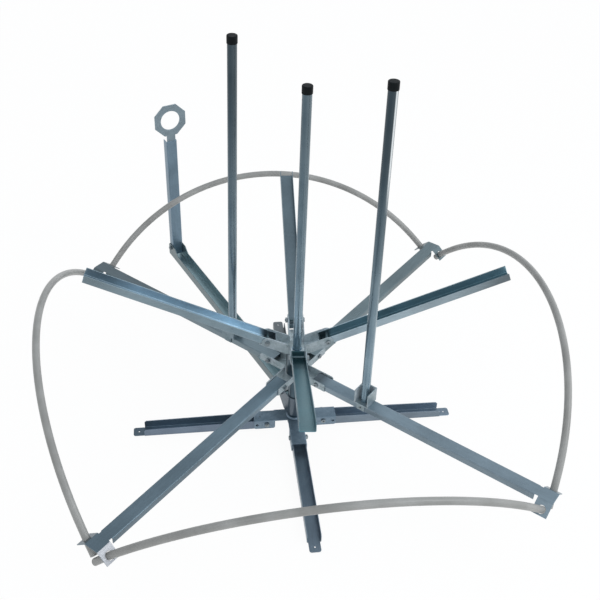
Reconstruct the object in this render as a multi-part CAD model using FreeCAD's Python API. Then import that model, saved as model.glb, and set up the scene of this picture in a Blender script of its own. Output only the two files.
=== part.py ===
import FreeCAD, Part
import math
import os

Vector = FreeCAD.Vector

# A folding turntable for unwinding coils of pipe. Lengths are millimetres, angles are degrees.
# The origin is on the floor, on the axis of rotation. Z points up.

# Sheet metal shared by the whole object
channel_bend = 3.5
side_gap = 0.5
run_clearance = 0.08
seat_clearance = 0.3
weld_clearance = 0.05
pivot_bolt_d = 8.0
bolt_head_d = 14.0
bolt_head_height = 4.4
bolt_socket_d = 5.6
bolt_socket_depth = 2.4
nut_width = 13.0
nut_height = 6.5

# Floor legs, channels that are open at the top
leg_turn = -1.8
leg_width = 40.0
leg_sheet = 2.0
leg_height = 32.0
leg_tip_height = 26.0
leg_reach = 458.0
leg_end_corner = 5.0
foot_tab_length = 33.5
foot_tab_width = 32.8
foot_tab_corner = 7.0
foot_hole_d = 5.0
leg_pivot_r = 87.0
leg_pivot_up = 21.0

# Folded cross on the floor stand
hub_sheet = 2.5
base_hub_reach = 126.0
base_lug_start = 62.0
base_lug_clear = 3.0
lug_corner = 6.0
lock_hole_d = 9.0
lock_hole_r = 117.0
lock_hole_up = 18.0
weld_bead = 4.0

# Column and the rotor's bearings
column_d = 42.4
column_wall = 2.6
column_foot = 6.0
column_top = 292.0
bush_d = 52.0
bush_flange_d = 60.0
bush_flange = 3.0
bush_length = 30.0
washer_d = 62.0
washer_sheet = 3.0
collar_d = 60.0
collar_height = 10.5
collar_screw_d = 6.0
barrel_d = 60.3
barrel_length = 86.5
rotor_up = 211.2
ring_groove_depth = 1.0
ring_sheet = 1.8
ring_d = 49.0
ring_from_top = 5.6
top_washer_sheet = 1.5
top_washer_d = 51.0

# Guide arm, its bracket on the column and its folding upright
guide_turn = 111.05
guide_bottom = 87.0
guide_height = 32.0
guide_sheet = 2.0
guide_start = 27.0
guide_hinge_r = 880.0
guide_past_hinge = 20.0
guide_ear_before_hinge = 56.0
guide_shoulder_before_hinge = 32.0
guide_ear_height = 51.0
guide_ear_corner = 8.0
bracket_sheet = 3.0
bracket_bottom = 50.0
bracket_dip_r = 24.0
bracket_rise_r = 52.0
bracket_rise_up = 79.0
bracket_reach = 78.0
bracket_inner_bolt_r = 42.0
bracket_outer_bolt_r = 64.0
guide_hinge_up = 125.0
upright_gap = 0.3
upright_depth = 25.0
upright_foot = 25.0
upright_top = 560.0
eye_up = 636.0
eye_flats = 109.0
eye_hole_d = 67.0
eye_sheet = 3.0
eye_neck_width = 34.0
eye_neck_overlap = 60.0

# Long arms of the rotor, channels that are open at the bottom
long_arm_turn = 45.0
long_arm_width = 40.0
long_arm_height = 19.0
long_arm_sheet = 2.0
long_arm_start = 72.0
long_arm_reach = 770.0
head_notch = 10.0
ear_width = 42.0
ear_length = 41.0
ear_drop = 41.0
ear_hole_from_bend = 24.5
ear_hole_d = 23.0
long_arm_pivot_r = 87.0
lower_hub_reach = 117.0
lower_hub_wall_start = 26.0
lower_hub_wall = 23.0

# Plastic pipes bent between the long arms' heads.
# For each: middle azimuth, tilt of its plane above the floor, angle of its ends to the chord, and
# for its clockwise and its other end how far it comes through the ear and how much it bends there.
hoop_d = 20.0
hoop_wall = 2.0
hoop_straight = 30.0
hoop_end_bend_r = 60.0
hoops = {
    "hoop_front": (270.0, 66.3, 41.8, (60.0, 9.0), (26.0, 9.0)),
    "hoop_right": (0.0, 63.5, 52.7, (46.0, 2.0), (24.0, 9.0)),
    "hoop_back": (90.0, 51.6, 53.3, (30.0, 9.0), (30.0, 9.0)),
    "hoop_left": (180.0, 63.3, 50.3, (30.0, 9.0), (43.0, 2.0)),
}

# Rising arms of the rotor and the folded cross that carries them.
# For each arm: its azimuth and its slope above the floor, which differ a little in hand-folded wings.
rising_arms = {
    "right": (-2.4, 22.0),
    "back": (85.4, 22.0),
    "left": (172.9, 23.7),
    "front": (262.8, 24.9),
}
rising_arm_width = 40.0
rising_arm_height = 25.0
rising_arm_sheet = 2.0
rising_arm_tail = 22.0
rising_arm_length = 544.0
upper_hub_wall = 28.0
upper_hub_bend_r = 34.0
upper_pivot_r = 86.0
upper_lug_round = 17.0
upper_window_start = -25.0
upper_window_end = 9.0
upper_lip_end = 18.0

# Upright posts, their sockets and caps.
# For each side post: its arm's azimuth, its distance from the axis, and its lean along X and along Y.
left_post_r = 243.0
right_post_r = 240.6
side_posts = {
    "left": (135.0, left_post_r, 0.45, -2.0),
    "right": (315.0, right_post_r, -0.22, 1.17),
}
post_d = 25.0
post_wall = 2.0
post_length = 953.0
centre_post_length = 945.0
post_fit = 0.3
cap_wall = 1.3
cap_height = 20.0
cap_roof = 3.0
cap_round = 2.0
socket_wall = 2.2
socket_depth = 131.4
socket_floor = 3.0
carriage_length = 45.0
carriage_sheet = 2.5
carriage_height = 44.0
carriage_skirt = 18.0
carriage_skirt_length = 24.0
spigot_d = 18.0
spigot_height = 30.0
set_screw_d = 6.0
set_screw_socket_d = 3.4
set_screw_socket_depth = 3.0

# Heights and radii worked out from the sizes above
guide_reach = guide_hinge_r + guide_past_hinge
bracket_bolt_r = (bracket_inner_bolt_r, bracket_outer_bolt_r)
ear_start = long_arm_reach + head_notch
head_end = ear_start + ear_width
column_r = column_d / 2
hub_half = leg_width / 2 + side_gap + hub_sheet
base_hub_under = leg_height + seat_clearance
base_hub_top = base_hub_under + hub_sheet
collar_top = rotor_up - bush_flange - washer_sheet
lower_floor_top = rotor_up + hub_sheet
upper_floor_under = lower_floor_top + barrel_length
upper_floor_top = upper_floor_under + hub_sheet
long_arm_under = lower_floor_top + seat_clearance
long_arm_top = long_arm_under + long_arm_height
long_arm_pivot_up = long_arm_under + long_arm_height / 2
ear_bend_up = long_arm_top - long_arm_sheet
ear_hole_side = long_arm_width / 2 + ear_hole_from_bend * math.cos(math.radians(ear_drop))
ear_hole_up = ear_bend_up - ear_hole_from_bend * math.sin(math.radians(ear_drop))
ear_hole_r = ear_start + ear_width / 2
upper_floor_drop = rising_arm_height / 2 + seat_clearance + hub_sheet
guide_width = column_d
upright_width = guide_width - 2 * guide_sheet - 2 * upright_gap
bore_r = column_r + run_clearance
ring_under = column_top - ring_from_top - ring_sheet
upper_bush_top = ring_under - top_washer_sheet
carriage_top = long_arm_top + seat_clearance + carriage_sheet


def box(x0, x1, y0, y1, z0, z1):
    """A block between two corners."""
    return Part.makeBox(x1 - x0, y1 - y0, z1 - z0, Vector(x0, y0, z0))


def rod(radius, start, direction, length):
    """A round bar from a point along a direction."""
    return Part.makeCylinder(radius, length, start, direction)


def sleeve(outer_r, inner_r, z0, z1):
    """An upright tube on the axis."""
    outer = rod(outer_r, Vector(0, 0, z0), Vector(0, 0, 1), z1 - z0)
    return outer.cut(rod(inner_r, Vector(0, 0, z0), Vector(0, 0, 1), z1 - z0))


def side_plate(outline, y0, y1):
    """A plate with an outline in X and Z, from y0 to y1."""
    points = [Vector(x, y0, z) for x, z in outline]
    face = Part.Face(Part.makePolygon(points + points[:1]))
    return face.extrude(Vector(0, y1 - y0, 0))


def turned(shape, azimuth):
    """The shape turned about the axis of rotation."""
    result = shape.copy()
    result.rotate(Vector(0, 0, 0), Vector(0, 0, 1), azimuth)
    return result


def arc(centre_y, centre_z, radius, start, end):
    """An arc in the plane X = 0, its angles measured from +Y towards +Z."""
    angles = [math.radians(a) for a in (start, (start + end) / 2, end)]
    points = [Vector(0, centre_y + radius * math.cos(a), centre_z + radius * math.sin(a)) for a in angles]
    return Part.Arc(*points).toShape()


def line(y0, z0, y1, z1):
    return Part.makeLine(Vector(0, y0, z0), Vector(0, y1, z1))


def channel(width, height, sheet, x0, x1):
    """A folded channel along X, open at the top, with its web's underside at Z = 0."""
    half = width / 2
    inner = half - sheet
    bend = channel_bend
    edges = [
        line(-half, height, -half, bend),
        arc(-half + bend, bend, bend, 180, 270),
        line(-half + bend, 0, half - bend, 0),
        arc(half - bend, bend, bend, 270, 360),
        line(half, bend, half, height),
        line(half, height, inner, height),
        line(inner, height, inner, bend),
        arc(half - bend, bend, bend - sheet, 360, 270),
        line(half - bend, sheet, -half + bend, sheet),
        arc(-half + bend, bend, bend - sheet, 270, 180),
        line(-inner, bend, -inner, height),
        line(-inner, height, -half, height),
    ]
    profile = Part.Face(Part.Wire(Part.__sortEdges__(edges)))
    profile.translate(Vector(x0, 0, 0))
    return profile.extrude(Vector(x1 - x0, 0, 0))


def flipped(shape, top):
    """The shape turned upside down about X, with its former underside at the height top."""
    result = shape.copy()
    result.rotate(Vector(0, 0, 0), Vector(1, 0, 0), 180)
    result.translate(Vector(0, 0, top))
    return result


def cross_hole(radius, x, z, half_length):
    """A round cutter through both sides of an arm."""
    return rod(radius, Vector(x, -half_length, z), Vector(0, 1, 0), 2 * half_length)


def hexagon(width, start, direction, length, bore_radius):
    """A hexagon nut along Y."""
    corner = width / 2 / math.cos(math.radians(30))
    points = []
    for k in range(6):
        angle = math.radians(60 * k)
        points.append(Vector(start.x + corner * math.cos(angle), start.y, start.z + corner * math.sin(angle)))
    face = Part.Face(Part.makePolygon(points + points[:1]))
    nut = face.extrude(Vector(0, direction * length, 0))
    bore = rod(bore_radius, start, Vector(0, direction, 0), length)
    return nut.cut(bore)


def cross_bolt(x, z, half_grip):
    """A socket screw across an arm, with its head on the -Y side."""
    shank_end = half_grip + nut_height + 1.5
    shank = rod(pivot_bolt_d / 2, Vector(x, -half_grip, z), Vector(0, 1, 0), half_grip + shank_end)
    head = rod(bolt_head_d / 2, Vector(x, -half_grip, z), Vector(0, -1, 0), bolt_head_height)
    rim = [e for e in head.Edges if abs(e.BoundBox.YMax + half_grip + bolt_head_height) < 0.01]
    head = head.makeFillet(bolt_head_height / 3, rim)
    outer_y = -half_grip - bolt_head_height
    socket = rod(bolt_socket_d / 2, Vector(x, outer_y, z), Vector(0, 1, 0), bolt_socket_depth)
    return head.fuse(shank).cut(socket).removeSplitter()


def cross_nut(x, z, half_grip):
    return hexagon(nut_width, Vector(x, half_grip, z), 1, nut_height, pivot_bolt_d / 2 + weld_clearance)


def group(shapes):
    return Part.makeCompound(shapes)


def around(shape, turn):
    """Four copies of a shape a quarter turn apart."""
    return [turned(shape, turn + 90 * k) for k in range(4)]


# Floor stand

def make_leg():
    """One floor leg along X, with the pivot end rounded and a foot tab at the tip."""
    start = leg_pivot_r - (leg_height - leg_pivot_up)
    leg = channel(leg_width, leg_height, leg_sheet, start, leg_reach)
    half = leg_width
    taper = [
        (base_hub_reach, leg_height),
        (leg_reach - leg_end_corner, leg_tip_height),
        (leg_reach, leg_tip_height - leg_end_corner),
        (leg_reach + 1, leg_tip_height - leg_end_corner),
        (leg_reach + 1, leg_height + 1),
        (base_hub_reach, leg_height + 1),
    ]
    leg = leg.cut(side_plate(taper, -half, half))
    round_r = leg_height - leg_pivot_up
    corner = box(start - 1, leg_pivot_r, -half, half, leg_pivot_up, leg_height + 1)
    corner = corner.cut(cross_hole(round_r, leg_pivot_r, leg_pivot_up, half))
    leg = leg.cut(corner)
    leg = leg.fuse(make_foot_tab()).removeSplitter()
    leg = leg.cut(cross_hole(pivot_bolt_d / 2 + run_clearance, leg_pivot_r, leg_pivot_up, half))
    return leg.cut(cross_hole(lock_hole_d / 2, lock_hole_r, lock_hole_up, half))


def make_foot_tab():
    """The leg's web carried on past its flanges."""
    half = foot_tab_width / 2
    tab = box(leg_reach - 1, leg_reach + foot_tab_length, -half, half, 0, leg_sheet)
    ends = [e for e in tab.Edges if e.BoundBox.XMin > leg_reach + 1 and e.BoundBox.ZLength > leg_sheet / 2]
    tab = tab.makeFillet(foot_tab_corner, ends)
    middle = leg_reach + foot_tab_length / 2
    return tab.cut(rod(foot_hole_d / 2, Vector(middle, 0, 0), Vector(0, 0, 1), leg_sheet))


def corner_cutter(x, z, across, up, half):
    """What a rounded outer corner of a lug loses, for the corner at x and z."""
    block = box(min(x, x - across), max(x, x - across), -half, half, min(z, z - up), max(z, z - up))
    return block.cut(cross_hole(abs(across), x - across, z - up, half))


def make_base_hub():
    """A folded cross over the legs' inner ends, with a lug on both sides of each leg."""
    height = base_hub_top - base_lug_clear
    lugs = flipped(channel(2 * hub_half, height, hub_sheet, base_lug_start, base_hub_reach), base_hub_top)
    for x, across in ((base_lug_start, -lug_corner), (base_hub_reach, lug_corner)):
        lugs = lugs.cut(corner_cutter(x, base_lug_clear, across, -lug_corner, hub_half + 1))
    lugs = lugs.cut(cross_hole(pivot_bolt_d / 2 + weld_clearance, leg_pivot_r, leg_pivot_up, hub_half + 1))
    lugs = lugs.cut(cross_hole(lock_hole_d / 2, lock_hole_r, lock_hole_up, hub_half + 1))
    plate = box(-base_lug_start, base_lug_start, -hub_half, hub_half, base_hub_under, base_hub_top)
    hub = plate.fuse(turned(plate, 90))
    for arm in around(lugs, 0):
        hub = hub.fuse(arm)
    bead = Part.makeCone(column_r + weld_bead, column_r + weld_bead / 4, weld_bead, Vector(0, 0, base_hub_top))
    hub = hub.fuse(bead)
    bore = rod(column_r + weld_clearance, Vector(0, 0, 0), Vector(0, 0, 1), column_top)
    return turned(hub.cut(bore).removeSplitter(), leg_turn)


def make_column():
    """The upright tube on which the rotor turns, with a groove for its retaining ring."""
    tube = sleeve(column_r, column_r - column_wall, column_foot, column_top)
    groove_r = column_r - ring_groove_depth
    groove = sleeve(column_r + 1, groove_r, ring_under, ring_under + ring_sheet + 2 * weld_clearance)
    return tube.cut(groove)


def make_collar():
    """The ring under the rotor, with a screw hole through its side."""
    collar = sleeve(collar_d / 2, column_r + weld_clearance, collar_top - collar_height, collar_top)
    middle = collar_top - collar_height / 2
    hole = rod(collar_screw_d / 2, Vector(0, 0, middle), Vector(0, -1, 0), collar_d)
    return collar.cut(hole)


def make_collar_screw():
    middle = collar_top - collar_height / 2
    start = column_r + weld_clearance
    length = collar_d / 2 - start - 1
    screw = rod(collar_screw_d / 2 - weld_clearance, Vector(0, -start, middle), Vector(0, -1, 0), length)
    socket_start = Vector(0, -start - length, middle)
    return screw.cut(rod(set_screw_socket_d / 2, socket_start, Vector(0, 1, 0), set_screw_socket_depth))


def make_retaining_ring():
    ring = sleeve(ring_d / 2, column_r - ring_groove_depth + weld_clearance, ring_under, ring_under + ring_sheet)
    opening = box(0, ring_d, -ring_sheet, ring_sheet, ring_under - 1, ring_under + ring_sheet + 1)
    return ring.cut(opening)


# Guide

def make_guide_bracket():
    """A strap bent round the column, with two cheeks that hold the guide arm."""
    top = guide_bottom + guide_height
    inner = bore_r
    outer = inner + bracket_sheet
    strap = sleeve(outer, inner, bracket_bottom, top)
    strap = strap.cut(box(0, outer, -outer - 1, outer + 1, bracket_bottom - 1, top + 1))
    outline = [
        (0, bracket_bottom),
        (bracket_dip_r, bracket_bottom),
        (bracket_rise_r, bracket_rise_up),
        (bracket_reach, bracket_rise_up),
        (bracket_reach, top),
        (0, top),
    ]
    for side in (-1, 1):
        cheek = side_plate(outline, min(side * inner, side * outer), max(side * inner, side * outer))
        strap = strap.fuse(cheek)
    strap = strap.removeSplitter()
    middle = guide_bottom + guide_height / 2
    for r in bracket_bolt_r:
        strap = strap.cut(cross_hole(pivot_bolt_d / 2 + weld_clearance, r, middle, outer + 1))
    return turned(strap, guide_turn)


def make_guide_arm():
    """The level channel below the rotor, with raised ears at its outer end."""
    arm = channel(guide_width, guide_height, guide_sheet, guide_start, guide_reach)
    outline = [
        (guide_hinge_r - guide_ear_before_hinge, channel_bend),
        (guide_hinge_r - guide_ear_before_hinge, guide_height),
        (guide_hinge_r - guide_shoulder_before_hinge, guide_ear_height),
        (guide_reach - guide_ear_corner, guide_ear_height),
        (guide_reach, guide_ear_height - guide_ear_corner),
        (guide_reach, channel_bend),
    ]
    half = guide_width / 2
    arm = arm.fuse(side_plate(outline, half - guide_sheet, half))
    arm = arm.fuse(side_plate(outline, -half, -half + guide_sheet)).removeSplitter()
    for r in bracket_bolt_r:
        arm = arm.cut(cross_hole(pivot_bolt_d / 2 + weld_clearance, r, guide_height / 2, half + 1))
    hinge_up = guide_hinge_up - guide_bottom
    arm = arm.cut(cross_hole(pivot_bolt_d / 2 + weld_clearance, guide_hinge_r, hinge_up, half + 1))
    arm.translate(Vector(0, 0, guide_bottom))
    return turned(arm, guide_turn)


def make_guide_upright():
    """The folding channel at the guide arm's end, with its web towards the axis."""
    foot = guide_hinge_up - upright_foot
    post = channel(upright_width, upright_depth, guide_sheet, foot, upright_top)
    post.rotate(Vector(0, 0, 0), Vector(0, 1, 0), -90)
    post.rotate(Vector(0, 0, 0), Vector(0, 0, 1), 180)
    post.translate(Vector(guide_hinge_r - upright_depth / 2, 0, 0))
    hole = cross_hole(pivot_bolt_d / 2 + run_clearance, guide_hinge_r, guide_hinge_up, upright_width)
    return turned(post.cut(hole), guide_turn)


def make_guide_eye():
    """An eight-sided ring with a neck, flat against the outside of the upright's web."""
    corner = eye_flats / 2 / math.cos(math.radians(22.5))
    points = []
    for k in range(8):
        angle = math.radians(22.5 + 45 * k)
        points.append(Vector(0, corner * math.cos(angle), eye_up + corner * math.sin(angle)))
    plate = Part.Face(Part.makePolygon(points + points[:1])).extrude(Vector(eye_sheet, 0, 0))
    neck_half = eye_neck_width / 2 - guide_sheet
    neck_foot = upright_top - eye_neck_overlap
    plate = plate.fuse(box(0, eye_sheet, -neck_half, neck_half, neck_foot, eye_up)).removeSplitter()
    plate = plate.cut(rod(eye_hole_d / 2, Vector(0, 0, eye_up), Vector(1, 0, 0), eye_sheet))
    plate.translate(Vector(guide_hinge_r - upright_depth / 2 + guide_sheet, 0, 0))
    return turned(plate, guide_turn)


# Rotor

def make_lower_hub():
    """A folded cross open at the top, in which the long arms stand."""
    height = hub_sheet + lower_hub_wall
    arm = channel(2 * hub_half, height, hub_sheet, lower_hub_wall_start, lower_hub_reach)
    arm = arm.cut(corner_cutter(lower_hub_reach, height, lug_corner, lug_corner, hub_half + 1))
    pivot_up = long_arm_pivot_up - rotor_up
    arm = arm.cut(cross_hole(pivot_bolt_d / 2 + weld_clearance, long_arm_pivot_r, pivot_up, hub_half + 1))
    flat = lower_hub_wall_start + 1
    hub = box(-flat, flat, -hub_half, hub_half, 0, hub_sheet)
    hub = hub.fuse(turned(hub, 90))
    for copy in around(arm, 0):
        hub = hub.fuse(copy)
    hub = hub.removeSplitter()
    hub.translate(Vector(0, 0, rotor_up))
    bore = rod(bush_d / 2 + weld_clearance, Vector(0, 0, 0), Vector(0, 0, 1), column_top)
    return turned(hub.cut(bore), long_arm_turn)


def make_head_ear(side):
    """One plate bent out and down at a long arm's head, with a hole for a hoop."""
    bend = Vector(0, long_arm_width / 2, ear_bend_up)
    start = long_arm_width / 2
    plate = box(ear_start, ear_start + ear_width, start, start + ear_length, ear_bend_up, long_arm_top)
    hole_at = Vector(ear_hole_r, start + ear_hole_from_bend, ear_bend_up - 1)
    plate = plate.cut(rod(ear_hole_d / 2, hole_at, Vector(0, 0, 1), long_arm_sheet + 2))
    plate.rotate(bend, Vector(1, 0, 0), -ear_drop)
    knuckle = rod(long_arm_sheet, Vector(ear_start, bend.y, bend.z), Vector(1, 0, 0), ear_width)
    keep = box(ear_start, ear_start + ear_width, start, start + ear_length, ear_bend_up, long_arm_top)
    ear = plate.fuse(knuckle.common(keep))
    if side < 0:
        ear = ear.mirror(Vector(0, 0, 0), Vector(0, 1, 0))
    return ear


def make_long_arm():
    """One long arm along X: a channel open at the bottom, and a head with two ears."""
    body = channel(long_arm_width, long_arm_height, long_arm_sheet, long_arm_start, long_arm_reach)
    arm = flipped(body, long_arm_top)
    half = long_arm_width / 2 - channel_bend
    tongue = box(long_arm_reach - 1, ear_start, -half, half, ear_bend_up, long_arm_top)
    head_half = long_arm_width / 2
    head = box(ear_start, head_end, -head_half, head_half, ear_bend_up, long_arm_top)
    arm = arm.fuse(tongue).fuse(head)
    for side in (-1, 1):
        arm = arm.fuse(make_head_ear(side))
    arm = arm.removeSplitter()
    bolt_hole = cross_hole(pivot_bolt_d / 2 + weld_clearance, long_arm_pivot_r, long_arm_pivot_up, head_half + 1)
    return arm.cut(bolt_hole)


def hoop_end(half_chord, end, stub, bend_angle):
    """One end of a hoop in its own plane, from its foot through the bend at the ear to the knee."""
    bend = math.radians(bend_angle)
    hole = Vector(half_chord, 0, 0)
    inward = Vector(-math.cos(end), math.sin(end), 0)
    outward = Vector(math.cos(end + bend), -math.sin(end + bend), 0)
    tangent = hoop_end_bend_r * math.tan(bend / 2)
    bend_depth = hoop_end_bend_r / math.cos(bend / 2) - hoop_end_bend_r
    middle = (inward + outward).normalize()
    return [
        hole + outward * stub,
        hole + outward * tangent,
        hole + middle * bend_depth,
        hole + inward * tangent,
        hole + inward * hoop_straight,
    ]


def hoop_line(azimuth, tilt, end_angle, first_end, last_end):
    """A hoop's middle line from one foot to the other."""
    reach = math.hypot(ear_hole_r, ear_hole_side)
    offset = math.radians(45) - math.atan2(ear_hole_side, ear_hole_r)
    half_chord = reach * math.sin(offset)
    chord_r = reach * math.cos(offset)
    end = math.radians(end_angle)
    slope = math.radians(tilt)
    turn = FreeCAD.Rotation(Vector(0, 0, 1), azimuth)

    def place(across, bulge):
        out = chord_r + bulge * math.cos(slope)
        return turn.multVec(Vector(out, across, ear_hole_up + bulge * math.sin(slope)))

    first = [place(-p.x, p.y) for p in hoop_end(half_chord, end, *first_end)]
    last = [place(p.x, p.y) for p in hoop_end(half_chord, end, *last_end)]
    radius = (half_chord - hoop_straight * math.cos(end)) / math.sin(end)
    crown = place(0, hoop_straight * math.sin(end) + radius * (1 - math.cos(end)))
    return Part.Wire([
        Part.LineSegment(first[0], first[1]).toShape(),
        Part.Arc(first[1], first[2], first[3]).toShape(),
        Part.LineSegment(first[3], first[4]).toShape(),
        Part.Arc(first[4], crown, last[4]).toShape(),
        Part.LineSegment(last[4], last[3]).toShape(),
        Part.Arc(last[3], last[2], last[1]).toShape(),
        Part.LineSegment(last[1], last[0]).toShape(),
    ])


def make_hoop(path):
    """One plastic pipe with its bore, along its middle line."""
    foot = path.Vertexes[0].Point
    direction = (path.Vertexes[1].Point - foot).normalize()
    outer = Part.Wire(Part.Circle(foot, direction, hoop_d / 2).toShape())
    inner = Part.Wire(Part.Circle(foot, direction, hoop_d / 2 - hoop_wall).toShape())
    pipe = path.makePipeShell([outer], True, False)
    bore = path.makePipeShell([inner], True, False)
    return pipe.cut(bore)


def upper_pivot(rise):
    """The height of a rising arm's pivot, for its wing's slope."""
    slope = math.radians(rise)
    climb = upper_floor_drop + (upper_pivot_r - upper_hub_bend_r) * math.sin(slope)
    return upper_floor_under + climb / math.cos(slope)


def make_upper_wall(y0, y1, rise):
    """One side wall of the upper hub, from the corner of the cross to the rounded lug."""
    slope = math.radians(rise)
    start = hub_half - hub_sheet
    top = upper_floor_top + upper_hub_wall
    along = Vector(math.cos(slope), 0, math.sin(slope))
    normal = Vector(-math.sin(slope), 0, math.cos(slope))
    pivot = Vector(upper_pivot_r, 0, upper_pivot(rise))
    low = pivot - normal * upper_floor_drop
    low_end = low + along * math.sqrt(upper_lug_round ** 2 - upper_floor_drop ** 2)
    crown = pivot + Vector(-math.sin(slope / 2), 0, math.cos(slope / 2)) * upper_lug_round
    outline = [
        (start, upper_floor_under),
        (upper_hub_bend_r, upper_floor_under),
        (low_end.x, low_end.z),
        (pivot.x, pivot.z),
        (crown.x, crown.z),
        (start, top),
    ]
    lug = rod(upper_lug_round, Vector(pivot.x, y0, pivot.z), Vector(0, 1, 0), y1 - y0)
    under = side_plate([
        (upper_hub_bend_r, upper_floor_under),
        (low_end.x, low_end.z),
        (low_end.x, upper_floor_under - upper_lug_round),
        (upper_hub_bend_r, upper_floor_under - upper_lug_round),
    ], y0, y1)
    return side_plate(outline, y0, y1).fuse(lug.cut(under)).removeSplitter()


def make_upper_wing(rise):
    """One inclined wing of the upper hub, with a window, a lip and two walls."""
    inner = hub_half - hub_sheet
    reach = (upper_pivot_r - upper_hub_bend_r) / math.cos(math.radians(rise))
    reach += upper_floor_drop * math.tan(math.radians(rise))
    floor = box(0, reach + upper_lip_end, -inner - 0.5, inner + 0.5, 0, hub_sheet)
    window_half = rising_arm_width / 2 + side_gap / 2
    window = box(
        reach + upper_window_start, reach + upper_window_end, -window_half, window_half, -1, hub_sheet + 1
    )
    floor = floor.cut(window)
    floor.rotate(Vector(0, 0, 0), Vector(0, 1, 0), -rise)
    floor.translate(Vector(upper_hub_bend_r, 0, upper_floor_under))
    knuckle = rod(
        hub_sheet, Vector(upper_hub_bend_r, -inner - 0.5, upper_floor_top), Vector(0, 1, 0), 2 * inner + 1
    )
    below = box(upper_hub_bend_r - hub_sheet, upper_hub_bend_r + hub_sheet, -inner - 1, inner + 1,
                upper_floor_under, upper_floor_top)
    wing = floor.fuse(knuckle.common(below))
    wing = wing.fuse(make_upper_wall(inner, hub_half, rise))
    wing = wing.fuse(make_upper_wall(-hub_half, -inner, rise))
    bolt_hole = cross_hole(pivot_bolt_d / 2 + weld_clearance, upper_pivot_r, upper_pivot(rise), hub_half + 1)
    return wing.cut(bolt_hole)


def make_upper_hub():
    """A folded cross with four rising wings."""
    half = hub_half - hub_sheet
    hub = box(-half, half, -half, half, upper_floor_under, upper_floor_top)
    quarter = box(0, upper_hub_bend_r, -hub_half, hub_half, upper_floor_under, upper_floor_top)
    for azimuth, _ in rising_arms.values():
        hub = hub.fuse(turned(quarter, azimuth))
    for azimuth, rise in rising_arms.values():
        hub = hub.fuse(turned(make_upper_wing(rise), azimuth))
    socket_r = post_d / 2 + post_fit + socket_wall
    bore = rod(socket_r + weld_clearance, Vector(0, 0, 0), Vector(0, 0, 1), upper_floor_top + 1)
    return hub.cut(bore).removeSplitter()


def make_rising_arm(rise):
    """One rising arm along X at its slope, with an end plate behind its pivot."""
    half_height = rising_arm_height / 2
    arm = channel(rising_arm_width, rising_arm_height, rising_arm_sheet, -rising_arm_tail, rising_arm_length)
    half = rising_arm_width / 2 - rising_arm_sheet - 0.5
    end = -rising_arm_tail + rising_arm_sheet
    arm = arm.fuse(box(-rising_arm_tail, end, -half, half, rising_arm_sheet, rising_arm_height))
    arm = arm.cut(cross_hole(pivot_bolt_d / 2 + run_clearance, 0, half_height, rising_arm_width))
    arm.translate(Vector(0, 0, -half_height))
    arm.rotate(Vector(0, 0, 0), Vector(0, 1, 0), -rise)
    arm.translate(Vector(upper_pivot_r, 0, upper_pivot(rise)))
    return arm


# Posts

def make_post(foot, length):
    """An upright tube on the axis, from its foot's height."""
    return sleeve(post_d / 2, post_d / 2 - post_wall, foot, foot + length)


def make_cap(post_top):
    """A black cap over a post's upper end."""
    top = post_top + cap_roof
    cap = rod(post_d / 2 + cap_wall, Vector(0, 0, top - cap_height), Vector(0, 0, 1), cap_height)
    rim = [e for e in cap.Edges if e.BoundBox.ZMin > top - 0.01]
    cap = cap.makeFillet(cap_round, rim)
    pocket = rod(
        post_d / 2 + weld_clearance, Vector(0, 0, top - cap_height), Vector(0, 0, 1), cap_height - cap_roof
    )
    return cap.cut(pocket)


def make_post_socket():
    """A closed tube in the column for the middle post's foot."""
    inner = post_d / 2 + post_fit
    foot = upper_floor_top - socket_depth
    tube = sleeve(inner + socket_wall, inner, foot, upper_floor_top)
    plug = rod(inner + socket_wall, Vector(0, 0, foot - socket_floor), Vector(0, 0, 1), socket_floor)
    return tube.fuse(plug).removeSplitter()


def make_carriage(carriage_r):
    """A sliding seat on a long arm along X, with a post's box open towards -Y and a spigot."""
    half = long_arm_width / 2 + seat_clearance
    outer = half + carriage_sheet
    start = carriage_r - carriage_length / 2
    end = carriage_r + carriage_length / 2
    floor_under = long_arm_top + seat_clearance
    wall_top = carriage_top + carriage_height
    carriage = box(start, end, -outer, outer, floor_under, carriage_top)
    skirt_start = carriage_r - carriage_skirt_length / 2
    skirt_end = carriage_r + carriage_skirt_length / 2
    for side in (-1, 1):
        near = min(side * half, side * outer)
        carriage = carriage.fuse(
            box(skirt_start, skirt_end, near, near + carriage_sheet, floor_under - carriage_skirt, carriage_top)
        )
    for x in (start, end - carriage_sheet):
        carriage = carriage.fuse(box(x, x + carriage_sheet, -outer, outer, carriage_top, wall_top))
    carriage = carriage.fuse(box(start, end, outer - carriage_sheet, outer, carriage_top, wall_top))
    spigot = rod(spigot_d / 2, Vector(carriage_r, 0, carriage_top), Vector(0, 0, 1), spigot_height)
    carriage = carriage.fuse(spigot).removeSplitter()
    screw_up = floor_under - carriage_skirt / 2
    hole = rod(set_screw_d / 2, Vector(carriage_r, -outer - 1, screw_up), Vector(0, 1, 0), carriage_sheet + 2)
    return carriage.cut(hole)


def make_set_screw(carriage_r):
    """The screw that holds a carriage on its arm."""
    half = long_arm_width / 2 + seat_clearance
    screw_up = long_arm_top + seat_clearance - carriage_skirt / 2
    length = carriage_sheet + 2
    screw = rod(set_screw_d / 2 - weld_clearance, Vector(carriage_r, -half, screw_up), Vector(0, -1, 0), length)
    socket_start = Vector(carriage_r, -half - length, screw_up)
    socket = rod(set_screw_socket_d / 2, socket_start, Vector(0, 1, 0), set_screw_socket_depth)
    return screw.cut(socket)


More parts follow.
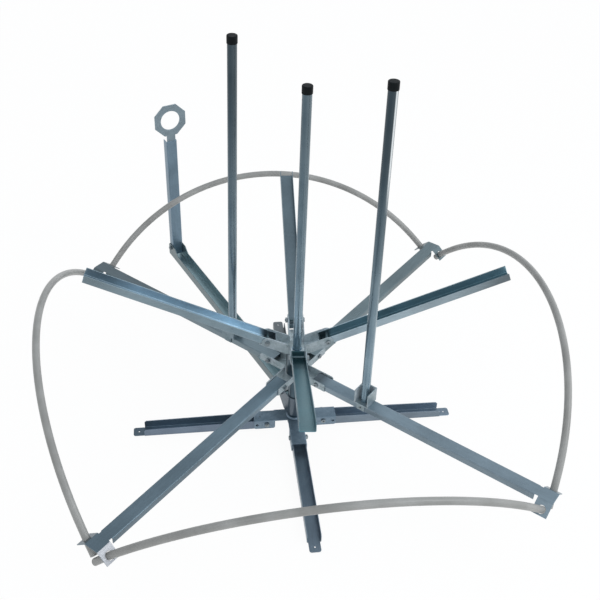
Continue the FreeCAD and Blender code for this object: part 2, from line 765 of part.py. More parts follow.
def leaning(shape, azimuth, distance, lean_x, lean_y):
    """A piece made on the axis, moved to a side post's foot and leaned about it."""
    tilt = math.hypot(lean_x, lean_y)
    rise = post_d / 2 * math.sin(math.radians(tilt))
    foot = turned(Part.Vertex(distance, 0, carriage_top + rise), azimuth).Point
    result = shape.copy()
    result.translate(foot - Vector(0, 0, carriage_top))
    result.rotate(foot, Vector(-lean_y, lean_x, 0), tilt)
    return result


def build_stand():
    """The floor stand's pieces by name."""
    pieces = {
        "base_hub": make_base_hub(),
        "column_tube": make_column(),
        "column_collar": make_collar(),
        "collar_screw": make_collar_screw(),
        "thrust_washer": sleeve(washer_d / 2, column_r + seat_clearance, collar_top, collar_top + washer_sheet),
        "top_washer": sleeve(top_washer_d / 2, bore_r, upper_bush_top, ring_under),
        "retaining_ring": make_retaining_ring(),
    }
    for k, name in enumerate(("leg_right", "leg_back", "leg_left", "leg_front")):
        pieces[name] = turned(make_leg(), leg_turn + 90 * k)
    pieces["leg_pivot_bolts"] = group(around(cross_bolt(leg_pivot_r, leg_pivot_up, hub_half), leg_turn))
    pieces["leg_pivot_nuts"] = group(around(cross_nut(leg_pivot_r, leg_pivot_up, hub_half), leg_turn))
    return pieces


def build_guide():
    """The guide's pieces by name."""
    middle = guide_bottom + guide_height / 2
    cheek = bore_r + bracket_sheet
    bolts = [turned(cross_bolt(r, middle, cheek), guide_turn) for r in bracket_bolt_r]
    nuts = [turned(cross_nut(r, middle, cheek), guide_turn) for r in bracket_bolt_r]
    half = guide_width / 2
    return {
        "guide_bracket": make_guide_bracket(),
        "guide_arm_bolts": group(bolts),
        "guide_arm_nuts": group(nuts),
        "guide_arm": make_guide_arm(),
        "guide_upright": make_guide_upright(),
        "guide_eye": make_guide_eye(),
        "guide_hinge_bolt": turned(cross_bolt(guide_hinge_r, guide_hinge_up, half), guide_turn),
        "guide_hinge_nut": turned(cross_nut(guide_hinge_r, guide_hinge_up, half), guide_turn),
    }


def build_rotor():
    """The rotor's pieces by name."""
    flange = sleeve(bush_flange_d / 2, bore_r, rotor_up - bush_flange, rotor_up)
    body = sleeve(bush_d / 2, bore_r, rotor_up, rotor_up + bush_length)
    pieces = {
        "lower_hub": make_lower_hub(),
        "barrel_tube": sleeve(barrel_d / 2, bush_d / 2 + weld_clearance, lower_floor_top, upper_floor_under),
        "upper_hub": make_upper_hub(),
        "lower_bush": flange.fuse(body).removeSplitter(),
        "upper_bush": sleeve(bush_d / 2, bore_r, upper_bush_top - bush_length, upper_bush_top),
        "post_socket": make_post_socket(),
    }
    for k, name in enumerate(("back_right", "back_left", "front_left", "front_right")):
        pieces["long_arm_" + name] = turned(make_long_arm(), long_arm_turn + 90 * k)
    bolt = cross_bolt(long_arm_pivot_r, long_arm_pivot_up, hub_half)
    nut = cross_nut(long_arm_pivot_r, long_arm_pivot_up, hub_half)
    pieces["long_arm_bolts"] = group(around(bolt, long_arm_turn))
    pieces["long_arm_nuts"] = group(around(nut, long_arm_turn))
    for name, form in hoops.items():
        path = hoop_line(*form)
        pieces[name] = make_hoop(path)
        print(name, "length", round(path.Length, 1))
    bolts = []
    nuts = []
    for name, (azimuth, rise) in rising_arms.items():
        pieces["rising_arm_" + name] = turned(make_rising_arm(rise), azimuth)
        bolts.append(turned(cross_bolt(upper_pivot_r, upper_pivot(rise), hub_half), azimuth))
        nuts.append(turned(cross_nut(upper_pivot_r, upper_pivot(rise), hub_half), azimuth))
    pieces["rising_arm_bolts"] = group(bolts)
    pieces["rising_arm_nuts"] = group(nuts)
    return pieces


def build_posts():
    """The posts, their caps and the sliding carriages by name."""
    centre_foot = upper_floor_top - socket_depth
    pieces = {
        "post_centre": make_post(centre_foot, centre_post_length),
        "cap_centre": make_cap(centre_foot + centre_post_length),
    }
    for name, (azimuth, distance, lean_x, lean_y) in side_posts.items():
        pieces["carriage_" + name] = turned(make_carriage(distance), azimuth)
        pieces["set_screw_" + name] = turned(make_set_screw(distance), azimuth)
        post = make_post(carriage_top, post_length)
        cap = make_cap(carriage_top + post_length)
        pieces["post_" + name] = leaning(post, azimuth, distance, lean_x, lean_y)
        pieces["cap_" + name] = leaning(cap, azimuth, distance, lean_x, lean_y)
    return pieces


os.makedirs("parts", exist_ok=True)
for build in (build_stand, build_guide, build_rotor, build_posts):
    for node, shape in build().items():
        shape.exportStep("parts/" + node + ".step")
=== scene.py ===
import math

import bpy
from mathutils import Matrix, Vector

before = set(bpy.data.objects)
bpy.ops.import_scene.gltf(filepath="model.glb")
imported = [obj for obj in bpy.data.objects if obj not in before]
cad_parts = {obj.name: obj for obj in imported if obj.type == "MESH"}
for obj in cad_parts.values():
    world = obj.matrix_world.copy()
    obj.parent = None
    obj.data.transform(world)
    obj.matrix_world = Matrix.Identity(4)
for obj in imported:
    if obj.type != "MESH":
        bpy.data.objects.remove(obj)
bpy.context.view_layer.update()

# The camera stands where the photograph was taken from: place in metres, angles in degrees
CAMERA_PLACE = (-0.3582, -1.9843, 2.0359)
CAMERA_AZIMUTH = -10.312
CAMERA_ELEVATION = 37.681
CAMERA_ROLL = 2.343
CAMERA_LENS = 54.86
CAMERA_CLIP = (0.05, 60.0)
SENSOR = 36.0

# Lamps: name, place, the point they are aimed at, width in metres, power in watts
LAMPS = (
    ("key", (-2.2, -1.8, 3.6), (0, 0, 0.4), 2.2, 12.0),
    ("window", (2.6, -1.5, 2.5), (0, 0, 0.3), 1.5, 24.0),
)

# Floor and studio. Colours here and below are linear.
FLOOR_REACH = 12.0
FLOOR_DROP = 0.001
FLOOR_GLOW = 0.94
FLOOR_COLOUR = (0.93, 0.93, 0.93, 1)
SKY_LOW = (0.96, 0.98, 1.0)
SKY_MIDDLE = (0.80, 0.85, 0.89)
SKY_HIGH = (0.72, 0.77, 0.82)
SKY_LEFT_SHARE = 0.82
SKY_RIGHT_SHARE = 1.5

# Dirt, and how far sheet edges are rounded in the material, in metres
STAIN = (0.066, 0.064, 0.054, 1)
GRIME = (0.064, 0.066, 0.06, 1)
EDGE_RADIUS = 0.0011

# Azimuths of the tubes' side with painted light and of the painted highlight line on the right post, and the
# highlight's colour
LIT_SIDE = -10.3
HIGHLIGHT_SIDE = -55.0
HIGHLIGHT_COLOUR = (0.85, 0.9, 0.92, 1)

# Half widths in metres: inside the channels, the guide arm and the hubs, where faces get painted light, and
# of the bolts' bare shafts, which get painted shade
CHANNEL_INSIDE = 0.0185
GUIDE_INSIDE = 0.0197
HUB_INSIDE = 0.021
BOLT_BARE = 0.017

# A step of painted light and shade along an arm is (start, end, share before, share after), from the axis,
# in metres.
# Azimuths are in degrees.
# Legs: name, azimuth, colour painted for how light falls on it, colour inside with painted light, share of
# painted light on the web inside, steps of painted light and shade inside, stains
LEGS = (
    ("right", -1.8, (0.17, 0.215, 0.26), (0.30, 0.39, 0.48), 0.58, (), 0.15),
    ("back", 88.2, (0.15, 0.165, 0.175), (0.15, 0.165, 0.175), 1.0, (), 0.35),
    ("left", 178.2, (0.155, 0.20, 0.26), (0.175, 0.245, 0.31), 0.85, ((0.43, 0.46, 1.0, 0.6),), 0.15),
    ("front", 268.2, (0.145, 0.195, 0.24), (0.15, 0.195, 0.24), 1.0, ((0.12, 0.42, 1.5, 0.95),), 0.15),
)

# Long arms: name, azimuth, colour painted for how light falls on it, steps of painted light and shade
LONG_ARMS = (
    ("back_right", 45, (0.155, 0.205, 0.225), ((0.2, 0.6, 1.12, 0.82),)),
    ("back_left", 135, (0.155, 0.20, 0.225), ((0.3, 0.6, 1.22, 0.75),)),
    ("front_left", 225, (0.14, 0.195, 0.235), ((0.1, 0.5, 1.4, 0.85),)),
    ("front_right", 315, (0.205, 0.265, 0.31), ((0.09, 0.12, 0.4, 1.0), (0.15, 0.45, 1.17, 0.95))),
)

# One ear of the front left arm gets a painted highlight: the arm's azimuth, the way the ear faces, and its
# start in metres
HIGHLIT_EAR_TURN = 225
HIGHLIT_EAR_DIRECTION = (0.464, -0.464, 0.755)
HIGHLIT_EAR_START = 0.74

# Rising arms: name, azimuth, colour painted for how light falls on it, steps of painted light and shade, and
# inside the colour with painted light, steps of painted light and shade and the share of painted light on
# the web
RISING_ARMS = (
    ("right", -2.4,
     (0.28, 0.35, 0.39), ((0.27, 0.36, 1.35, 1.03), (0.44, 0.56, 1.0, 0.45)),
     (0.23, 0.385, 0.455), ((0.09, 0.10, 0.35, 1.0),), 0.5),
    ("back", 85.4,
     (0.145, 0.195, 0.225), (),
     (0.145, 0.195, 0.225), (), 1.0),
    ("left", 172.9,
     (0.22, 0.29, 0.33), ((0.13, 0.25, 1.35, 1.0), (0.46, 0.58, 1.0, 0.8)),
     (0.385, 0.50, 0.58), ((0.095, 0.11, 0.25, 1.0), (0.20, 0.28, 1.3, 1.0), (0.42, 0.52, 1.05, 0.7)), 1.25),
    ("front", 262.8,
     (0.115, 0.19, 0.225), (),
     (0.10, 0.23, 0.275), ((0.15, 0.17, 0.6, 1.0), (0.45, 0.56, 1.0, 0.8)), 0.95),
)

# Where the upright line of each carriage's post is, and how far from it the carriage reaches, in metres; the
# faces looking at it get painted light
CARRIAGE_PLACES = {"carriage_left": (-0.172, 0.172), "carriage_right": (0.170, -0.170)}
CARRIAGE_REACH = 0.035

# Azimuth of the guide arm
GUIDE_TURN = 111.05

# Posts: the colours of their shaded and lit sides, as painted light and shade, and for each its steps of
# painted light and shade with height and the strength of its painted highlight line
POST_SHADED_SIDE = (0.075, 0.115, 0.145, 1)
POST_LIT_SIDE = (0.17, 0.22, 0.25, 1)
POSTS = (
    ("left", ((0.40, 1.05, 1.6, 0.5),), 0.0),
    ("right", ((0.40, 1.0, 1.9, 0.48),), 0.8),
    ("centre", ((0.42, 0.55, 1.4, 1.0), (0.50, 1.0, 1.65, 0.9)), 0.0),
)


def outward(azimuth):
    """The level direction at this azimuth, in degrees."""
    return Vector((math.cos(math.radians(azimuth)), math.sin(math.radians(azimuth)), 0))


def add_camera():
    """A camera with the photograph's place, direction, roll and field of view."""
    azimuth = math.radians(CAMERA_AZIMUTH)
    elevation = math.radians(CAMERA_ELEVATION)
    back = Vector((
        math.sin(azimuth) * math.cos(elevation),
        -math.cos(azimuth) * math.cos(elevation),
        math.sin(elevation),
    ))
    level = (-back).cross(Vector((0, 0, 1))).normalized()
    upward = level.cross(-back)
    roll = math.radians(CAMERA_ROLL)
    right = math.cos(roll) * level + math.sin(roll) * upward
    up = -math.sin(roll) * level + math.cos(roll) * upward
    data = bpy.data.cameras.new("camera")
    data.lens = CAMERA_LENS
    data.sensor_width = SENSOR
    data.sensor_height = SENSOR
    data.clip_start, data.clip_end = CAMERA_CLIP
    camera = bpy.data.objects.new("camera", data)
    bpy.context.scene.collection.objects.link(camera)
    turn = Matrix((right, up, back)).transposed().to_4x4()
    camera.matrix_world = Matrix.Translation(Vector(CAMERA_PLACE)) @ turn
    bpy.context.scene.camera = camera


class Maker:
    """Short calls for the nodes of one node tree."""

    def __init__(self, tree):
        self.tree = tree
        self.nodes = tree.nodes
        self.nodes.clear()

    def add(self, kind, **values):
        node = self.nodes.new(kind)
        for key, value in values.items():
            setattr(node, key, value)
        return node

    def link(self, start, end):
        self.tree.links.new(start, end)

    def put(self, socket, value):
        """A socket gets a link from another socket or a plain value."""
        if isinstance(value, bpy.types.NodeSocket):
            self.link(value, socket)
        else:
            socket.default_value = value

    def mapped(self, turn=0.0, scale=(1, 1, 1)):
        """Object coordinates in metres, turned about Z and then scaled along each axis."""
        coordinates = self.add("ShaderNodeTexCoord")
        rotate = self.add("ShaderNodeVectorRotate", rotation_type="Z_AXIS")
        self.link(coordinates.outputs["Object"], rotate.inputs["Vector"])
        rotate.inputs["Angle"].default_value = math.radians(-turn)
        multiply = self.add("ShaderNodeVectorMath", operation="MULTIPLY")
        self.link(rotate.outputs["Vector"], multiply.inputs[0])
        multiply.inputs[1].default_value = scale
        return multiply.outputs["Vector"]

    def noise(self, vector, scale, detail=3.0, roughness=0.55):
        node = self.add("ShaderNodeTexNoise")
        self.link(vector, node.inputs["Vector"])
        node.inputs["Scale"].default_value = scale
        node.inputs["Detail"].default_value = detail
        node.inputs["Roughness"].default_value = roughness
        return node.outputs["Fac"]

    def stretch(self, value, low, high, to_low=0.0, to_high=1.0):
        """The value from low to high becomes to_low to to_high, and no more."""
        node = self.add("ShaderNodeMapRange")
        self.put(node.inputs["Value"], value)
        node.inputs["From Min"].default_value = low
        node.inputs["From Max"].default_value = high
        node.inputs["To Min"].default_value = to_low
        node.inputs["To Max"].default_value = to_high
        return node.outputs["Result"]

    def spread(self, noise, to_low=0.0, to_high=1.0):
        """The usual range of a noise becomes to_low to to_high."""
        return self.stretch(noise, 0.3, 0.7, to_low, to_high)

    def math(self, operation, first, second=0.0):
        node = self.add("ShaderNodeMath", operation=operation)
        self.put(node.inputs[0], first)
        self.put(node.inputs[1], second)
        return node.outputs[0]

    def blend(self, amount, first, second):
        """A colour between two colours."""
        node = self.add("ShaderNodeMix", data_type="RGBA")
        self.put(node.inputs[0], amount)
        self.put(node.inputs[6], first)
        self.put(node.inputs[7], second)
        return node.outputs[2]

    def bump(self, height, strength, distance, normal=None):
        node = self.add("ShaderNodeBump")
        node.inputs["Strength"].default_value = strength
        node.inputs["Distance"].default_value = distance
        self.link(height, node.inputs["Height"])
        if normal is not None:
            self.link(normal, node.inputs["Normal"])
        return node.outputs["Normal"]

    def part(self, vector, axis):
        """One coordinate of a vector."""
        split = self.add("ShaderNodeSeparateXYZ")
        self.link(vector, split.inputs[0])
        return split.outputs[axis]

    def scaled(self, colour, share):
        """The colour times a number."""
        node = self.add("ShaderNodeVectorMath", operation="SCALE")
        self.put(node.inputs[0], colour)
        self.put(node.inputs["Scale"], share)
        return node.outputs["Vector"]

    def painted_light_along(self, colour, place, painted_light_steps):
        """Painted light and shade that changes along the piece, where place is the way along it."""
        for start, end, before, after in painted_light_steps:
            colour = self.scaled(colour, self.stretch(place, start, end, before, after))
        return colour

    def facing(self, azimuth):
        """How much the surface faces one side of its own body, from -1 to 1."""
        coordinates = self.add("ShaderNodeTexCoord")
        dot = self.add("ShaderNodeVectorMath", operation="DOT_PRODUCT")
        self.link(coordinates.outputs["Normal"], dot.inputs[0])
        dot.inputs[1].default_value = outward(azimuth)
        return dot.outputs["Value"]

    def looking_up(self):
        """How much the surface faces up in its own body, from -1 to 1."""
        coordinates = self.add("ShaderNodeTexCoord")
        return self.part(coordinates.outputs["Normal"], "Z")

    def edge_share(self, rounded):
        """1 on the bends and cut edges that the rounded normal smooths, 0 on flat sheet."""
        geometry = self.add("ShaderNodeNewGeometry")
        dot = self.add("ShaderNodeVectorMath", operation="DOT_PRODUCT")
        self.link(geometry.outputs["Normal"], dot.inputs[0])
        self.link(rounded, dot.inputs[1])
        return self.stretch(dot.outputs["Value"], 0.995, 0.9)

    def rounded_edges(self, radius):
        node = self.add("ShaderNodeBevel", samples=4)
        node.inputs["Radius"].default_value = radius
        return node.outputs["Normal"]


def new_material(name):
    """A material with one shader, whose sockets are then filled."""
    material = bpy.data.materials.new(name)
    material.use_nodes = True
    maker = Maker(material.node_tree)
    shader = maker.add("ShaderNodeBsdfPrincipled")
    output = maker.add("ShaderNodeOutputMaterial")
    maker.link(shader.outputs[0], output.inputs["Surface"])
    return material, maker, shader


def tinted(colour, factor):
    """The colour times a number, with full alpha."""
    return tuple(channel * factor for channel in colour[:3]) + (1,)


def zinc(name, colour, turn=0.0, along=(1, 14, 14), stain=0.25, painted_light_steps=(), web_painted_light=1.0):
    """Zinc-plated sheet: cloudy plating, fine lines along the sheet, small stains, and a painted highlight
    on the edges.

    The steps paint light and shade along the arm, and the web share paints light and shade on the faces that
    look up.
    """
    material, maker, shader = new_material(name)
    plain = maker.mapped()
    cloud = maker.noise(plain, 7.0, 4.0, 0.6)
    lines = maker.noise(maker.mapped(turn, along), 28.0, 3.0, 0.6)
    grain = maker.noise(plain, 420.0, 2.0, 0.5)
    spots = maker.noise(plain, 46.0, 4.0, 0.65)
    base = maker.blend(maker.spread(cloud), tinted(colour, 0.82), tinted(colour, 1.18))
    streak = maker.stretch(lines, 0.35, 0.65, 0.0, 0.4)
    base = maker.blend(streak, base, tinted(colour, 0.72))
    speck = maker.stretch(grain, 0.5, 0.75, 0.0, 0.3)
    base = maker.blend(speck, base, tinted(colour, 1.4))
    mark = maker.stretch(spots, 0.64, 0.78, 0.0, stain)
    base = maker.blend(mark, base, STAIN)
    edges = maker.rounded_edges(EDGE_RADIUS)
    # Painted highlight: bends and cut edges are painted paler.
    edge_highlight = maker.edge_share(edges)
    base = maker.blend(maker.math("MULTIPLY", edge_highlight, 0.8), base, tinted(colour, 2.0))
    # Painted light and shade along the arm.
    base = maker.painted_light_along(base, maker.part(maker.mapped(turn), "X"), painted_light_steps)
    # Painted light and shade on the faces that look up.
    base = maker.scaled(base, maker.stretch(maker.looking_up(), 0.4, 0.6, 1.0, web_painted_light))
    maker.link(base, shader.inputs["Base Color"])
    shader.inputs["Metallic"].default_value = 0.75
    gloss = maker.math("ADD", maker.spread(cloud, 0.25, 0.37), maker.stretch(lines, 0.35, 0.7, 0.0, 0.06))
    gloss = maker.math("ADD", gloss, maker.math("MULTIPLY", mark, 0.8))
    maker.link(gloss, shader.inputs["Roughness"])
    normal = maker.bump(lines, 0.06, 0.0004, edges)
    maker.link(maker.bump(grain, 0.05, 0.0002, normal), shader.inputs["Normal"])
    return material


def hub_zinc(name, dark, light, metal=0.75):
    """Zinc-plated sheet that was bent and welded: blotchy, scuffed, with grey grime."""
    material, maker, shader = new_material(name)
    plain = maker.mapped()
    cloud = maker.noise(plain, 34.0, 4.0, 0.65)
    blotch = maker.noise(plain, 95.0, 3.0, 0.6)
    scuff = maker.noise(maker.mapped(30.0, (1, 9, 3)), 60.0, 3.0, 0.6)
    base = maker.blend(maker.stretch(cloud, 0.32, 0.68), dark, light)
    base = maker.blend(maker.stretch(blotch, 0.45, 0.7, 0.0, 0.4), base, tinted(dark, 0.8))
    base = maker.blend(maker.stretch(scuff, 0.52, 0.7, 0.0, 0.45), base, tinted(light, 1.25))
    grime = maker.stretch(maker.noise(plain, 52.0, 4.0, 0.7), 0.6, 0.75, 0.0, 0.5)
    base = maker.blend(grime, base, GRIME)
    edges = maker.rounded_edges(EDGE_RADIUS)
    # Painted highlight: bends and cut edges are painted paler.
    base = maker.blend(maker.math("MULTIPLY", maker.edge_share(edges), 0.7), base, tinted(light, 1.35))
    maker.link(base, shader.inputs["Base Color"])
    shader.inputs["Metallic"].default_value = metal
    gloss = maker.math("ADD", maker.spread(blotch, 0.34, 0.48), grime)
    maker.link(gloss, shader.inputs["Roughness"])
    maker.link(maker.bump(blotch, 0.10, 0.0005, edges), shader.inputs["Normal"])
    return material


def tube_steel(name, dark, light, rough=0.24, painted_light_steps=(), streak=0.0):
    """Zinc-plated welded tube: fine lines along it, cloudy bands, and painted light on one side.

    The steps paint light and shade that change with the height, and streak is the strength of a painted
    highlight line on the upper part.
    """
    material, maker, shader = new_material(name)
    plain = maker.mapped()
    lines = maker.noise(maker.mapped(0.0, (1, 1, 0.02)), 260.0, 3.0, 0.6)
    bands = maker.noise(maker.mapped(0.0, (0.4, 0.4, 1)), 9.0, 3.0, 0.5)
    # Painted light and shade: the tube is light on the side toward one azimuth and dark opposite it, and the
    # side facing away is painted partly light too.
    side = maker.facing(LIT_SIDE)
    base = maker.blend(maker.stretch(side, -0.2, 0.85), dark, light)
    base = maker.blend(maker.stretch(side, -0.5, -0.95, 0.0, 0.5), base, light)
    base = maker.blend(maker.stretch(lines, 0.35, 0.7, 0.0, 0.45), base, tinted(dark, 0.75))
    base = maker.blend(maker.stretch(bands, 0.35, 0.7, 0.0, 0.35), base, tinted(light, 1.2))
    height = maker.part(plain, "Z")
    # Painted light and shade that changes with the height.
    base = maker.painted_light_along(base, height, painted_light_steps)
    # Painted highlight: a bright line along one side of the tube's upper part.
    line = maker.stretch(maker.facing(HIGHLIGHT_SIDE), 0.95, 0.99, 0.0, streak)
    line = maker.math("MULTIPLY", line, maker.stretch(height, 0.85, 0.96))
    base = maker.blend(line, base, HIGHLIGHT_COLOUR)
    maker.link(base, shader.inputs["Base Color"])
    shader.inputs["Metallic"].default_value = 0.9
    maker.link(maker.spread(bands, rough - 0.05, rough + 0.08), shader.inputs["Roughness"])
    normal = maker.bump(lines, 0.04, 0.0003)
    grain = maker.noise(plain, 500.0, 2.0, 0.5)
    maker.link(maker.bump(grain, 0.04, 0.0002, normal), shader.inputs["Normal"])
    return material


def hoop_plastic(name):
    """Milky grey pipe that lets a little light through, slightly wavy and dusty."""
    material, maker, shader = new_material(name)
    plain = maker.mapped()
    cloud = maker.noise(plain, 14.0, 3.0, 0.5)
    fine = maker.noise(plain, 190.0, 3.0, 0.6)
    base = maker.blend(maker.spread(cloud), (0.28, 0.277, 0.265, 1), (0.385, 0.383, 0.37, 1))
    base = maker.blend(maker.stretch(fine, 0.5, 0.8, 0.0, 0.3), base, (0.24, 0.235, 0.215, 1))
    maker.link(base, shader.inputs["Base Color"])
    maker.link(maker.spread(cloud, 0.28, 0.40), shader.inputs["Roughness"])
    shader.inputs["Transmission Weight"].default_value = 0.2
    shader.inputs["IOR"].default_value = 1.5
    maker.link(maker.bump(cloud, 0.12, 0.0015), shader.inputs["Normal"])
    return material


def cap_rubber(name):
    """Black moulded cap with a faint satin grain."""
    material, maker, shader = new_material(name)
    plain = maker.mapped()
    grain = maker.noise(plain, 650.0, 3.0, 0.6)
    cloud = maker.noise(plain, 60.0, 2.0, 0.5)
    base = maker.blend(maker.spread(cloud), (0.002, 0.0035, 0.0045, 1), (0.005, 0.008, 0.009, 1))
    maker.link(base, shader.inputs["Base Color"])
    maker.link(maker.spread(cloud, 0.42, 0.58), shader.inputs["Roughness"])
    shader.inputs["Specular IOR Level"].default_value = 0.1
    edges = maker.rounded_edges(0.001)
    maker.link(maker.bump(grain, 0.15, 0.0002, edges), shader.inputs["Normal"])
    return material


def bolt_steel(name):
    """Plated fastener, cloudy, a little darker than the sheet."""
    material, maker, shader = new_material(name)
    cloud = maker.noise(maker.mapped(), 120.0, 3.0, 0.6)
    base = maker.blend(maker.spread(cloud), (0.16, 0.19, 0.21, 1), (0.34, 0.38, 0.40, 1))
    maker.link(base, shader.inputs["Base Color"])
    shader.inputs["Metallic"].default_value = 0.95
    maker.link(maker.spread(cloud, 0.24, 0.38), shader.inputs["Roughness"])
    maker.link(maker.bump(cloud, 0.08, 0.0002, maker.rounded_edges(0.0005)), shader.inputs["Normal"])
    return material


def bush_plastic(name):
    """Black plastic with a fine grain."""
    material, maker, shader = new_material(name)
    grain = maker.noise(maker.mapped(), 300.0, 3.0, 0.6)
    base = maker.blend(maker.spread(grain), (0.02, 0.02, 0.022, 1), (0.05, 0.05, 0.052, 1))
    maker.link(base, shader.inputs["Base Color"])
    shader.inputs["Roughness"].default_value = 0.45
    maker.link(maker.bump(grain, 0.1, 0.0002), shader.inputs["Normal"])
    return material


def paint(material, *nodes):
    """The CAD nodes show this material everywhere."""
    for node in nodes:
        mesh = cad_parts[node].data
        mesh.materials.clear()
        mesh.materials.append(material)


def paint_faces(node, material, chosen):
    """The faces of a painted CAD node that are chosen show this material instead."""
    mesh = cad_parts[node].data
    mesh.materials.append(material)
    for face in mesh.polygons:
        if chosen(face):
            face.material_index = 1


def paint_inside(node, turns, half, material):
    """Faces inside a channel, or inside the channels of a cross, show this material."""
    alongs = [outward(turn) for turn in turns]
    sides = [outward(turn + 90) for turn in turns]

    def chosen(face):
        reaches = [face.center.dot(along) for along in alongs]
        across = face.center.dot(sides[reaches.index(max(reaches))])
        return abs(across) < half and face.normal.z > -0.5

    paint_faces(node, material, chosen)


def paint_facing(node, direction, beyond, material):
    """Faces farther from the axis than a distance, that look in one direction, show this material."""
    direction = Vector(direction).normalized()

    def chosen(face):
        return face.center.xy.length > beyond and face.normal.dot(direction) > 0.95

    paint_faces(node, material, chosen)


def paint_towards(node, place, reach, material):
    """Faces that look at the upright line through a place, from within a reach, show this material."""
    def chosen(face):
        towards = Vector(place) - face.center.xy
        return face.normal.xy.dot(towards) > 0.002 and towards.length < reach

    paint_faces(node, material, chosen)


def paint_stand():
    """Each leg has its own grain direction and its own tone, painted for how light falls on it, and painted
    light inside.
    """
    for name, turn, colour, inside, web_painted_light, painted_light_steps, stain in LEGS:
        node = "leg_" + name
        paint(zinc("leg_zinc_" + name, colour, turn, stain=stain), node)
        # The faces inside the channel get painted light and shade.
        inner = zinc("leg_inside_" + name, inside, turn, stain=stain, painted_light_steps=painted_light_steps, web_painted_light=web_painted_light)
        paint_inside(node, [turn], CHANNEL_INSIDE, inner)
    paint(hub_zinc("base_hub_zinc", (0.14, 0.20, 0.255, 1), (0.21, 0.28, 0.345, 1)), "base_hub")


def paint_arms():
    """Each arm of the rotor has its own grain direction and its own tone, painted for how light falls on it.
    """
    for name, turn, colour, painted_light_steps in LONG_ARMS:
        paint(zinc("arm_zinc_" + name, colour, turn, stain=0.12, painted_light_steps=painted_light_steps), "long_arm_" + name)
    # Painted highlight on one ear of the front left arm.
    pale = zinc("arm_zinc_painted_highlight", (0.26, 0.27, 0.29), HIGHLIT_EAR_TURN, stain=0.0)
    paint_facing("long_arm_front_left", HIGHLIT_EAR_DIRECTION, HIGHLIT_EAR_START, pale)
    for name, turn, colour, painted_light_steps, inside, inside_painted_light_steps, web_painted_light in RISING_ARMS:
        node = "rising_arm_" + name
        paint(zinc("rising_zinc_" + name, colour, turn, stain=0.15, painted_light_steps=painted_light_steps), node)
        # The faces inside the channel get painted light and shade.
        inner = zinc("rising_inside_" + name, inside, turn, stain=0.1, painted_light_steps=inside_painted_light_steps, web_painted_light=web_painted_light)
        paint_inside(node, [turn], CHANNEL_INSIDE, inner)


def paint_hubs():
    """The hubs and carriages are blotchy, with painted light on the faces inside, where little light comes,
    and painted shade on the left carriage.
    """
    mottled = hub_zinc("hub_zinc", (0.24, 0.31, 0.33, 1), (0.40, 0.46, 0.50, 1))
    # Painted shade: a darker copy of the plating for the left carriage.
    painted_shade_left = hub_zinc("carriage_left_painted_shade", (0.13, 0.185, 0.21, 1), (0.22, 0.28, 0.32, 1))
    # Painted light: a lighter copy of the plating for the faces inside the hubs.
    painted_light_inside = hub_zinc("hub_inside_painted_light", (0.42, 0.50, 0.52, 1), (0.68, 0.74, 0.78, 1), metal=0.6)
    paint(mottled, "upper_hub", "lower_hub", "carriage_right")
    paint(painted_shade_left, "carriage_left")
    paint_inside("upper_hub", [arm[1] for arm in RISING_ARMS], HUB_INSIDE, painted_light_inside)
    paint_inside("lower_hub", [arm[1] for arm in LONG_ARMS], HUB_INSIDE, painted_light_inside)
    # Painted light: a lighter copy of the plating for the carriages' faces that look at their posts.
    pale = hub_zinc("carriage_inside_painted_light", (0.40, 0.46, 0.49, 1), (0.66, 0.72, 0.76, 1), metal=0.2)
    for node, place in CARRIAGE_PLACES.items():
        paint_towards(node, place, CARRIAGE_REACH, pale)


def paint_guide():
    """The arm below the rotor with its bracket, upright and eye."""
    paint(zinc("guide_arm_zinc", (0.12, 0.165, 0.18), GUIDE_TURN, stain=0.5), "guide_arm")
    # Painted light: a lighter copy of the plating for the faces inside the guide arm's channel.
    inner = zinc("guide_inside_painted_light", (0.30, 0.41, 0.44), GUIDE_TURN, stain=0.4)
    paint_inside("guide_arm", [GUIDE_TURN], GUIDE_INSIDE, inner)
    paint(zinc("guide_bracket_zinc", (0.12, 0.15, 0.18), GUIDE_TURN), "guide_bracket")
    upright = zinc("guide_upright_zinc", (0.17, 0.245, 0.31), along=(14, 14, 1), stain=0.1)
    paint(upright, "guide_upright")
    paint(zinc("guide_eye_zinc", (0.22, 0.28, 0.315), along=(6, 6, 6), stain=0.2), "guide_eye")


def paint_tubes():
    """The posts, each with its own painted light and shade, and the darker column."""
    posts = {}
    for name, painted_light_steps, streak in POSTS:
        posts[name] = tube_steel("post_zinc_" + name, POST_SHADED_SIDE, POST_LIT_SIDE, painted_light_steps=painted_light_steps, streak=streak)
        paint(posts[name], "post_" + name)
    paint(posts["centre"], "post_socket")
    column = tube_steel("column_zinc", (0.06, 0.095, 0.12, 1), (0.11, 0.15, 0.18, 1), rough=0.32)
    paint(column, "column_tube", "barrel_tube", "column_collar")


def paint_small_parts():
    """Fasteners, bushes, hoops and caps."""
    names = [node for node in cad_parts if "bolt" in node or "nut" in node or "screw" in node]
    paint(bolt_steel("fastener_zinc"), *names, "thrust_washer", "top_washer", "retaining_ring")
    # Painted shade: the bolts' bare shafts inside the rising arms' channels are painted dark.
    shaded_shaft = zinc("bolt_shaft_painted_shade", (0.10, 0.15, 0.17))
    paint_inside("rising_arm_bolts", [arm[1] for arm in RISING_ARMS], BOLT_BARE, shaded_shaft)
    paint(bush_plastic("bush_black"), "lower_bush", "upper_bush")
    paint(hoop_plastic("hoop_grey"), "hoop_front", "hoop_right", "hoop_back", "hoop_left")
    paint(cap_rubber("cap_black"), "cap_left", "cap_centre", "cap_right")


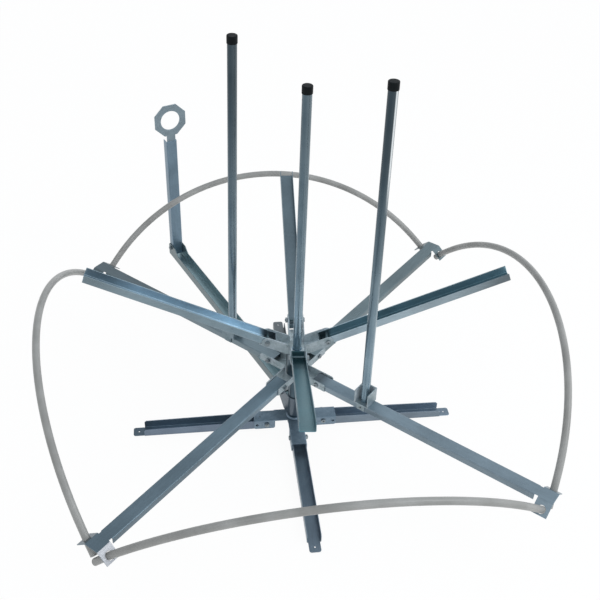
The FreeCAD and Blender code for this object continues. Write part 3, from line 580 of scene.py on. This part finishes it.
def add_floor():
    """A wide pale floor that keeps a faint shadow and shows white to the camera."""
    mesh = bpy.data.meshes.new("floor")
    reach = FLOOR_REACH
    corners = [(-reach, -reach, 0), (reach, -reach, 0), (reach, reach, 0), (-reach, reach, 0)]
    mesh.from_pydata(corners, [], [(0, 1, 2, 3)])
    floor = bpy.data.objects.new("floor", mesh)
    bpy.context.scene.collection.objects.link(floor)
    floor.location.z = -FLOOR_DROP
    material = bpy.data.materials.new("floor_pale")
    material.use_nodes = True
    maker = Maker(material.node_tree)
    matt = maker.add("ShaderNodeBsdfDiffuse")
    matt.inputs["Color"].default_value = FLOOR_COLOUR
    glow = maker.add("ShaderNodeEmission")
    glow.inputs["Color"].default_value = (1, 1, 1, 1)
    path = maker.add("ShaderNodeLightPath")
    seen = maker.math("MAXIMUM", path.outputs["Is Camera Ray"], path.outputs["Is Glossy Ray"])
    seen = maker.math("MAXIMUM", seen, path.outputs["Is Transmission Ray"])
    mix = maker.add("ShaderNodeMixShader")
    maker.link(maker.math("MULTIPLY", seen, FLOOR_GLOW), mix.inputs[0])
    maker.link(matt.outputs[0], mix.inputs[1])
    maker.link(glow.outputs[0], mix.inputs[2])
    output = maker.add("ShaderNodeOutputMaterial")
    maker.link(mix.outputs[0], output.inputs["Surface"])
    mesh.materials.append(material)


def add_world():
    """White behind the object, in a studio that is pale near the floor and to the right, greyer above."""
    world = bpy.data.worlds.new("studio")
    bpy.context.scene.world = world
    world.use_nodes = True
    maker = Maker(world.node_tree)
    coordinates = maker.add("ShaderNodeTexCoord")
    split = maker.add("ShaderNodeSeparateXYZ")
    maker.link(coordinates.outputs["Generated"], split.inputs[0])
    lower = maker.stretch(split.outputs["Z"], 0.10, 0.42)
    upper = maker.stretch(split.outputs["Z"], 0.70, 0.98)
    right = maker.stretch(split.outputs["X"], -0.4, 0.8)
    skies = []
    for colour in (SKY_LOW, SKY_MIDDLE, SKY_HIGH):
        skies.append(maker.blend(right, tinted(colour, SKY_LEFT_SHARE), tinted(colour, SKY_RIGHT_SHARE)))
    sky = maker.blend(lower, skies[0], skies[1])
    sky = maker.blend(upper, sky, skies[2])
    path = maker.add("ShaderNodeLightPath")
    seen = maker.math("MAXIMUM", path.outputs["Is Camera Ray"], path.outputs["Is Transmission Ray"])
    shown = maker.blend(seen, sky, (1, 1, 1, 1))
    background = maker.add("ShaderNodeBackground")
    maker.link(shown, background.inputs["Color"])
    background.inputs["Strength"].default_value = 1.0
    output = maker.add("ShaderNodeOutputWorld")
    maker.link(background.outputs[0], output.inputs["Surface"])


def add_lamp(name, place, aim, size, energy):
    """A square lamp at a place, turned to the point that it is aimed at."""
    data = bpy.data.lights.new(name, "AREA")
    data.shape = "SQUARE"
    data.size = size
    data.energy = energy
    lamp = bpy.data.objects.new(name, data)
    bpy.context.scene.collection.objects.link(lamp)
    lamp.location = place
    lamp.rotation_mode = "QUATERNION"
    lamp.rotation_quaternion = (Vector(aim) - Vector(place)).to_track_quat("-Z", "Y")


def main():
    add_camera()
    paint_stand()
    paint_arms()
    paint_hubs()
    paint_guide()
    paint_tubes()
    paint_small_parts()
    add_floor()
    add_world()
    for lamp in LAMPS:
        add_lamp(*lamp)
    bpy.context.scene.view_settings.view_transform = "Standard"


main()
